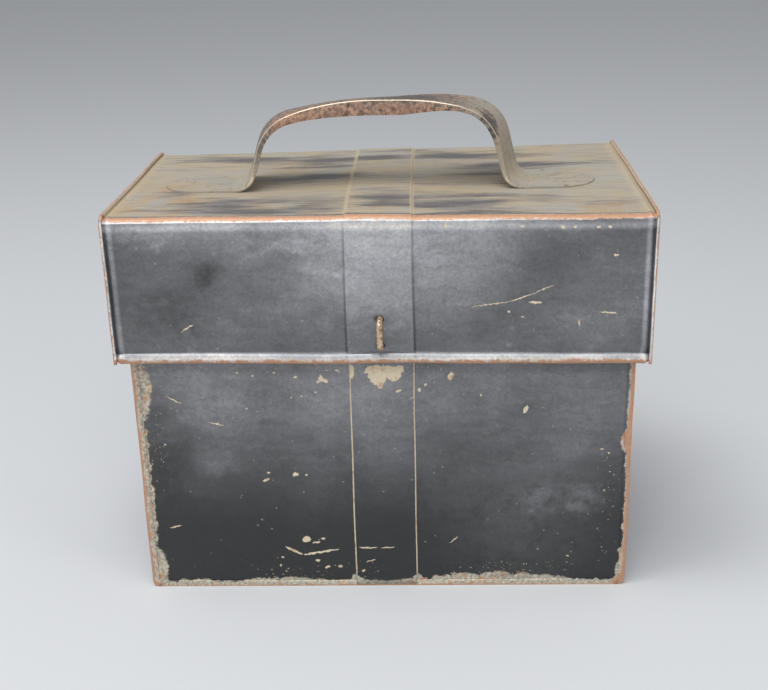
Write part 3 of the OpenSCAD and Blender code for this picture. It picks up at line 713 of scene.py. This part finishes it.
# %% Body: where it is worn
low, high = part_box("body_left_shell")
body_x = -low[0] / MM
body_y = high[1] / MM
strip_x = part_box("body_front_strip")[1][0] / MM
front = -body_y
body_rust = [((-body_x, front, 80), (2.0, 3.2, ENDLESS), 0), ((body_x, front, 80), (2.6, 3.2, ENDLESS), 0),
             ((0, front, 0), (ENDLESS, 3.2, 0.9), 0), ((-body_x, body_y, 80), (2.4, 3, ENDLESS), 0),
             ((body_x, body_y, 80), (2.4, 3, ENDLESS), 0), ((0, body_y, 0), (ENDLESS, 3, 2), 0),
             ((-body_x, 0, 0), (3, ENDLESS, 3), 0), ((body_x, 0, 0), (3, ENDLESS, 3), 0),
             ((-body_x, front, 0), (5, 4, 6), 0), ((body_x, front, 0), (8, 4, 9), 0),
             ((body_x, front, 97), (6, 4, 9), 0)]
# Bare folds of the front: (x, z, half width, half height)
body_tin = [((x, front, z), (half_x, 4, half_z), 0) for x, z, half_x, half_z in (
    (-body_x, 80, 6.0, ENDLESS), (-body_x, 132, 11.5, 24), (-body_x, 12, 11, 18), (body_x, 80, 2.5, ENDLESS),
    (body_x, 12, 5.5, 18), (0, 0, ENDLESS, 4.2), (66, 0, 52, 8.5), (-66, 0, 40, 5.6), (-strip_x, 0, 4.5, 8),
    (strip_x, 0, 4, 7))]
body_tin += [((0, body_y, 0), (ENDLESS, 4, 4), 0), ((-body_x, 0, 0), (4, ENDLESS, 3.6), 0),
             ((body_x, 0, 0), (4, ENDLESS, 3.6), 0), ((-body_x, body_y, 80), (3.4, 3.4, ENDLESS), 0),
             ((body_x, body_y, 80), (3.4, 3.4, ENDLESS), 0)]
# Both edges of the middle strip, the chips of the front and its scratches
body_chips = [((-strip_x, front, 80), (0.42, 4, ENDLESS), 0), ((strip_x, front, 80), (0.36, 4, ENDLESS), 0)]
body_chips += chips_on(front, [
    (-2.5, 140, 11, 13, 20), (6.8, 140.5, 9, 9, -15), (-1.2, 134.5, 4, 6, 0), (-6.5, 143.5, 6, 5, 20),
    (10.2, 143.6, 5, 5, -30), (3, 143.8, 9, 4, 0), (-9.3, 142, 2.2, 1.4, 0), (-17.5, 142.5, 3, 9, 0),
    (9.4, 130, 4, 1.4, 20), (-35.4, 138.5, 2.6, 4.4, 0), (-33, 136.8, 4, 2.4, -30), (-37, 136.4, 2, 2, 0),
    (-26, 143.3, 3, 1.6, 0), (-50, 139.3, 2.4, 1.6, 0), (-62.3, 142, 2, 1.4, 0), (-74.6, 140.2, 1.8, 1.2, 0),
    (-83.7, 142.1, 1.6, 1.2, 0), (39.4, 138.8, 3.6, 6, -25), (25, 133.4, 2, 1.5, 0), (21.5, 130.3, 2, 3, 0),
    (56.6, 126.8, 1.6, 1.4, 0), (82.6, 117.6, 2.6, 6, -18), (-70.4, 72.5, 4.6, 2, 25), (-68.9, 77.4, 2, 1.4, 0),
    (-52.9, 76.1, 4, 2.6, 10), (-46.3, 76, 1.4, 1.4, 0), (-48.3, 32.5, 5.8, 4.6, 0), (-42.3, 30.4, 5, 1.4, 5),
    (-38, 33, 3, 1.8, 0), (-63.6, 20, 2, 1.4, 0), (-65.1, 14.4, 1.4, 1.4, 0), (-42, 17.8, 3, 1.8, 0),
    (-36.3, 13, 4, 1.6, 20), (-28.3, 13.5, 3, 1.6, 0), (-14.3, 10.5, 2.2, 2, 0), (-97, 109.9, 1.6, 1.2, 0),
    (109.9, 19.6, 2, 1.2, 0), (128, 91.5, 2.2, 1.4, 0), (132.2, 88.9, 1.6, 1.2, 0), (-79.4, 119.4, 1.4, 1.2, 0),
    (-52.7, 126.7, 1.2, 1.1, 0), (-46.9, 127.3, 1.2, 1.1, 0), (-38.6, 129.7, 1.3, 1.1, 0)])
body_chips += scratches_on(front, [
    (-62, 27.7, -50.7, 21.6, 1.8), (-52, 21.6, -28, 25.6, 1.6), (-17, 26.8, -5, 26.4, 0.9),
    (-3.4, 26, 5, 26.8, 0.9), (-12.5, 16.6, -6.6, 18.4, 0.9), (-131, 41.2, -123, 42.9, 0.9),
    (-127.3, 128.4, -116.6, 122.2, 0.7), (-103, 110.8, -93, 108.4, 0.6), (37.8, 28.5, 43.9, 34, 0.6)])
# The back and the ends, which are handled less, have a few chips of their own
body_chips += chips_on(body_y, [
    (-104, 118, 5, 3, 20), (-86, 60, 3, 2, 0), (-52, 22, 6, 3, -15), (-30, 96, 2, 2.4, 0), (34, 44, 4, 2.6, 30),
    (61, 121, 3, 1.8, 0), (83, 20, 7, 3.4, 10), (112, 77, 2.6, 2, 0), (128, 34, 3, 4.4, 0)])
body_chips += [((side * body_x, y, z), (3, wide / 2, high / 2), 0) for side, y, z, wide, high in (
    (-1, -48, 104, 2.2, 3), (-1, -20, 62, 4, 2), (-1, 12, 26, 5, 3), (-1, 38, 91, 2, 2), (-1, 60, 48, 3, 4),
    (1, -56, 44, 4, 3), (1, -31, 118, 2, 2.4), (1, 4, 70, 3.4, 2), (1, 29, 24, 6, 3), (1, 51, 108, 2, 2))]
# Grey that grows upwards, partly haze and partly painted light from above, so the front is darker towards the floor;
# then clouds of the front as (x, z, half width, half height, lift)
body_tones = [((0, 0, 168), (ENDLESS, ENDLESS, 130), 0, 0.5)]
body_tones += [((x, front, z), (half_x, 8, half_z), 0, lift) for x, z, half_x, half_z, lift in (
    (119, 58, 17, 17, 0.24), (92, 56, 15, 15, 0.14), (82, 54, 76, 72, 0.11), (-93, 124, 46, 30, 0.2),
    (74, 136, 66, 30, -0.09), (0, 150, 110, 16, 0.1), (0, 90, 24, 50, 0.05), (-100, 84, 20, 16, 0.13),
    (-132, 104, 30, 62, -0.14), (-36, 88, 56, 66, 0.06))]
print("Worn places on the body:", len(body_rust + body_tin + body_chips))

# %% [markdown]
# The lid keeps more of its japan. Rust follows its front bend, the roll of its lower edge
# and the fins at its ends. Its tones are the grey haze of the front, which near the top is
# partly a painted reflection, and painted light: highlights on the lines where the sheet
# turns out into each fin, on the fins, along the bend and on the roll's crown, and shade in
# the grooves beside the fins and in two dents. The roll is pale above its rust, partly as
# rubbed metal and partly as painted light.

# %% Lid: where it is worn
lid_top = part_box("lid_cover_strip")[1][2] / MM
lid_rust = [((0, 2.7 - face_y, lid_top - 0.7), (ENDLESS, 2.3, 1.9), 0), ((0, face_y, lid_top), (ENDLESS, 2, 2), 0),
            ((0, -lid_y, lid_bottom - 2.2), (ENDLESS, 6, 4.4), 0), ((112, -lid_y, lid_bottom - 2), (56, 8, 4.7), 0),
            ((0, lid_y, lid_bottom), (ENDLESS, 3.4, 1.7), 0), ((-lid_x, 0, lid_bottom), (3.4, ENDLESS, 1.7), 0),
            ((lid_x, 0, lid_bottom), (3.4, ENDLESS, 1.7), 0)]
for side in (-1, 1):
    lid_rust += [((side * (lid_x + 1.2), y, 196), (1.9, 1.8, ENDLESS), 0) for y in (-lid_y, lid_y)]
    lid_rust.append(((side * (lid_x + 0.9), 0, lid_top + 1.6), (2.2, ENDLESS, 2.2), 0))
lid_chips = scratches_on(-face_y, [
    (51.5, 184.6, 72.4, 187.3, 0.5), (72, 187.2, 85, 192.2, 0.7), (84.5, 192, 96.5, 197.5, 0.5),
    (82.8, 187.1, 90, 187, 1.4), (-112, 169, -104.6, 173.8, 0.7), (122, 181.4, 131.4, 180.6, 0.8)])
lid_chips += chips_on(-face_y, [
    (71.9, 181.4, 1.3, 1.1, 0), (79.2, 178.4, 1.4, 1.1, 0), (129.3, 214, 2.6, 1.4, 0), (110.5, 174.8, 1.1, 3.4, 0),
    (36.8, 231, 2.4, 1.6, 0), (78.2, 230.6, 2, 1.6, 0), (100.2, 230.2, 2.4, 1.8, 0), (106.6, 230.2, 1.8, 1.6, 0),
    (119, 229.9, 2, 1.6, 0), (125.4, 229.9, 2.2, 1.6, 0)])
# Haze over the front that grows towards its top, partly haze and partly a painted reflection of the light above, then
# its patches as (x, z, half width, half height, slope, lift)
lid_tones = [((-20, -90, 240), (190, ENDLESS, 36), 0, 0.47), ((-30, -90, 206), (62, 30, 52), 0, 0.4),
             ((34, -90, 212), (58, 30, 50), 0, 0.3)]
# The first two patches darken the dents at the left, painted shade; the last lightens the top-left corner, a painted
# highlight
lid_tones += [((x, -90, z), (half_x, 8, half_z), slope, lift) for x, z, half_x, half_z, slope, lift in (
    (-96, 203, 17, 15, 0, -0.24), (-118, 178, 44, 30, 0, -0.14), (-46, 222, 44, 8, 18, 0.3),
    (-34, 207, 24, 7, -8, 0.26), (9, 170, 9, 8, 0, 0.22), (0, 161, 4, 2.4, 0, -0.6), (-2, 178, 3, 3, 0, -0.5),
    (110, 172, 60, 24, 0, 0.13), (73.6, 171.7, 3, 3, 0, 0.24), (72, 161.4, 2.6, 2.6, 0, 0.24),
    (-128, 226, 26, 10, 0, 0.3))]
# Painted highlights: the glint along the bend and the lighter band below it, then the roll's crown; last the roll's
# front, pale partly as rubbed metal and partly as painted light
lid_tones += [((-70, 1.1 - face_y, 234.2), (210, 1.1, 1.0), 0, 2.2), ((0, -face_y, 231), (ENDLESS, 3, 3.6), 0, 0.55),
              ((0, 0.8 - lid_y, 156.0), (ENDLESS, 2.2, 1.5), 0, 0.85), ((0, -lid_y, 154.2), (ENDLESS, 3, 1.9), 0, 1.5)]
# At each end: painted shade in the groove beside the fin, a painted highlight on the raised line where the sheet turns
# out, and a pale painted highlight along the fin
fin, groove, raised = lid_x - 0.9, lid_x - 2.4, lid_x - 4.9
for side in (-1, 1):
    lid_tones += [((side * groove, -90, 190), (0.8, 8, ENDLESS), 0, -0.2),
                  ((side * raised, -90, 190), (2.4, 8, ENDLESS), 0, 0.6),
                  ((side * fin, -90, 190), (1.3, 3, ENDLESS), 0, 2.2)]
# Painted shade: a dark line in the sheets along the cover strip; and a little more haze on the strip itself
strip_edge_shade = [((side * (cover_x + 0.7), -90, 196), (1.2, 8, ENDLESS), 0, -0.28) for side in (-1, 1)]
cover_tones = [((0, -90, 186), (60, 60, 80), 0, 0.2)]
print("Worn places on the lid:", len(lid_rust + lid_chips))

# %% Give the sheets, strips and hinge straps their finish
LID_HAZE, BODY_HAZE, STRAP_HAZE = 0.27, 0.01, 0.1
for name, piece in sheets.items():
    if name.startswith("lid_"):
        tones = lid_tones + (cover_tones if name == "lid_cover_strip" else strip_edge_shade)
        japanned_tin("japanned tinplate, " + name, piece, lid_rust, [], lid_chips, tones, LID_HAZE,
                     dusty=True)
    else:
        japanned_tin("japanned tinplate, " + name, piece, body_rust, body_tin, body_chips, body_tones,
                     BODY_HAZE)
for name in ("left_hinge_strap", "right_hinge_strap"):
    japanned_tin("japanned tinplate, " + name, nodes[name], body_rust, [], [], body_tones, STRAP_HAZE)

# %% [markdown]
# ## Wire
#
# The staple is soft iron wire, about 3.5 mm thick. It is rubbed bright where a hasp slid
# over it, and browned by rust in blotches of 2 to 3 mm. The wires inside the rims show only
# where the hinge straps pass.

# %% Rusty wire
def rusty_wire(name, bright, brown):
    material = bpy.data.materials.new(name)
    material.use_nodes = True
    tree = material.node_tree
    shader = tree.nodes["Principled BSDF"]
    where = add(tree, "TexCoord", out="Object")
    place = add(tree, "VectorMath", {0: where, "Scale": 1000}, operation="SCALE")
    pits = add(tree, "TexNoise", {"Vector": place, "Scale": 0.45, "Detail": 5, "Roughness": 0.6})
    cover = add(tree, "MapRange", {"Value": pits, 1: 0.46, 2: 0.62})
    colour = add(tree, "Mix", {FACTOR: cover, FIRST: srgb(bright), SECOND: srgb(brown)}, data_type="RGBA")
    bump = add(tree, "Bump", {"Height": pits, "Strength": 1.0, "Distance": 0.00015})
    tree.links.new(colour, shader.inputs["Base Color"])
    tree.links.new(add(tree, "MapRange", {"Value": cover, 3: 0.36, 4: 0.75}), shader.inputs["Roughness"])
    tree.links.new(add(tree, "MapRange", {"Value": cover, 3: 0.85, 4: 0.1}), shader.inputs["Metallic"])
    tree.links.new(bump, shader.inputs["Normal"])
    return material


staple_wire = rusty_wire("iron wire, rubbed and rusty", "#dcc0a0", "#74523d")
rim_wire = rusty_wire("iron wire, dull", "#8f8c86", "#5f564c")
for piece, wire in ((staple, staple_wire), (rim_wires[0], rim_wire), (rim_wires[1], rim_wire)):
    piece.data.materials.clear()
    piece.data.materials.append(wire)
print("Wire finishes:", staple_wire.name, "and", rim_wire.name)

# %% [markdown]
# ## The handle strap
#
# The handle is a flat strap of heavy tinplate, with both edges turned down to make a
# channel that doesn't cut the hand. It was bent by hand, so its creases are pale where the
# paint has gone, and a thin painted highlight runs along them, while the flat keeps a skin of
# rust, dust and old black paint. The rust is pitted at about 3 mm, and lies in blotches about
# 10 mm across.

# %% A copy of the strap that knows its creases
# A point lies on a crease if an edge there turns outward by 8 to 60 degrees, and counts for
# more when its neighbours do too
handle = hand_worked("handle", "lid", lid_field, cell=ENDLESS)
shape = bmesh.new()
shape.from_mesh(handle.data)
bent = {v.index: any(e.is_convex and 8 < math.degrees(e.calc_face_angle(0)) < 60 for e in v.link_edges)
        for v in shape.verts}
crease_value = [sum(bent[e.other_vert(v).index] for e in v.link_edges) / len(v.link_edges) * bent[v.index]
                for v in shape.verts]
shape.free()
handle.data.attributes.new("crease", "FLOAT", "POINT").data.foreach_set("value", crease_value)
print("Points on the strap's creases:", [sum(v > least for v in crease_value) for least in (0.3, 0.5, 0.7, 0.9)])

# %% Handle finish
RUSTY_PARTS = [((-30, -20, 277), (46, 16, 9), 0), ((20, -22, 280), (30, 12, 6), 0)]
SOOTY_PARTS = [((18, -6, 287), (26, 20, 3), 0), ((66, -20, 276), (9, 14, 12), 0)]
strap = bpy.data.materials.new("worn strap, dusty rust over tinplate")
strap.use_nodes = True
tree = strap.node_tree
shader = tree.nodes["Principled BSDF"]
place = millimetres(tree, handle)
blotch = add(tree, "TexNoise", {"Vector": place, "Scale": 0.09, "Detail": 7, "Roughness": 0.72})
grain = add(tree, "TexNoise", {"Vector": place, "Scale": 0.7, "Detail": 4, "Roughness": 0.6})
pitted = add(tree, "TexNoise", {"Vector": place, "Scale": 0.36, "Detail": 7, "Roughness": 0.75})
pitted = add(tree, "MapRange", {"Value": pitted, 1: 0.36, 2: 0.62})
brown = add(tree, "Mix", {FACTOR: pitted, FIRST: srgb("#3c332e"), SECOND: srgb("#94877a")}, data_type="RGBA")
orange = add(tree, "Mix", {FACTOR: pitted, FIRST: srgb("#4b3a30"), SECOND: srgb("#b18c73")}, data_type="RGBA")
rust_near = bareness(tree, place, RUSTY_PARTS)
rust_near = add(tree, "MapRange", {"Value": rust_near, 1: 1.3, 2: 0.3, 3: 0.0, 4: 0.3})
rust_near = add(tree, "Math", {0: rust_near, 1: blotch}, operation="ADD")
rust_near = add(tree, "MapRange", {"Value": rust_near, 1: 0.52, 2: 0.68})
skin = add(tree, "Mix", {FACTOR: rust_near, FIRST: brown, SECOND: orange}, data_type="RGBA")
soot_near = bareness(tree, place, SOOTY_PARTS)
soot_near = add(tree, "MapRange", {"Value": soot_near, 1: 1.2, 2: 0.3, 3: 0.0, 4: 0.28})
soot = add(tree, "TexNoise", {"Vector": place, "Scale": 0.2, "Detail": 7, "Roughness": 0.75})
soot = add(tree, "Math", {0: soot, 1: soot_near}, operation="ADD")
soot = add(tree, "MapRange", {"Value": soot, 1: 0.54, 2: 0.68, 3: 0.0, 4: 0.85})
skin = add(tree, "Mix", {FACTOR: soot, FIRST: skin, SECOND: srgb("#47423f")}, data_type="RGBA")

# The feet, the lower risers and the right shoulder carry the dust of the lid's top
height = add(tree, "SeparateXYZ", {0: place}, out="Z")
low_down = add(tree, "MapRange", {"Value": height, 1: 266, 2: 242}, interpolation_type="SMOOTHSTEP")
shoulder = add(tree, "SeparateXYZ", {0: place}, out="X")
shoulder = add(tree, "MapRange", {"Value": shoulder, 1: 44, 2: 62, 3: 0.0, 4: 0.8})
low_down = add(tree, "Math", {0: low_down, 1: shoulder}, operation="MAXIMUM")
low_down = add(tree, "Math", {0: low_down, 1: soot}, operation="SUBTRACT", use_clamp=True)
skin = add(tree, "Mix", {FACTOR: low_down, FIRST: skin, SECOND: powder(tree, place)}, data_type="RGBA")

# Bare tin along the creases, cream with oxide and broken by specks of paint, but only where
# the strap turns halfway between its flat and its edge, where it faces the light: so the pale
# line is partly worn tin and partly a painted highlight
worn = add(tree, "Attribute", out="Fac", attribute_name="crease", attribute_type="GEOMETRY")
broken = add(tree, "MapRange", {"Value": soot, 3: 0.0, 4: -0.12})
worn = add(tree, "Math", {0: worn, 1: broken}, operation="ADD")
worn = add(tree, "Math", {0: worn, 1: add(tree, "Math", {0: grain, 1: 0.3}, operation="MULTIPLY")}, operation="ADD")
worn = add(tree, "MapRange", {"Value": worn, 1: 0.76, 2: 0.98})
across = add(tree, "Math", {0: add(tree, "SeparateXYZ", {0: own_normal(tree)}, out="Y")}, operation="ABSOLUTE")
across = add(tree, "Math", {0: across, 1: 0.68, 2: 0.14}, operation="COMPARE")
worn = add(tree, "Math", {0: worn, 1: across}, operation="MULTIPLY")
skin = add(tree, "Mix", {FACTOR: worn, FIRST: skin, SECOND: srgb("#bfb09c")}, data_type="RGBA")
bump = add(tree, "Bump", {"Height": grain, "Strength": 1.0, "Distance": 0.00015})
tree.links.new(skin, shader.inputs["Base Color"])
tree.links.new(add(tree, "MapRange", {"Value": worn, 3: 0.6, 4: 0.4}), shader.inputs["Roughness"])
tree.links.new(add(tree, "MapRange", {"Value": worn, 3: 0.1, 4: 0.5}), shader.inputs["Metallic"])
tree.links.new(bump, shader.inputs["Normal"])
handle.data.materials.clear()
handle.data.materials.append(strap)
print("Strap finish:", len(tree.nodes), "nodes")
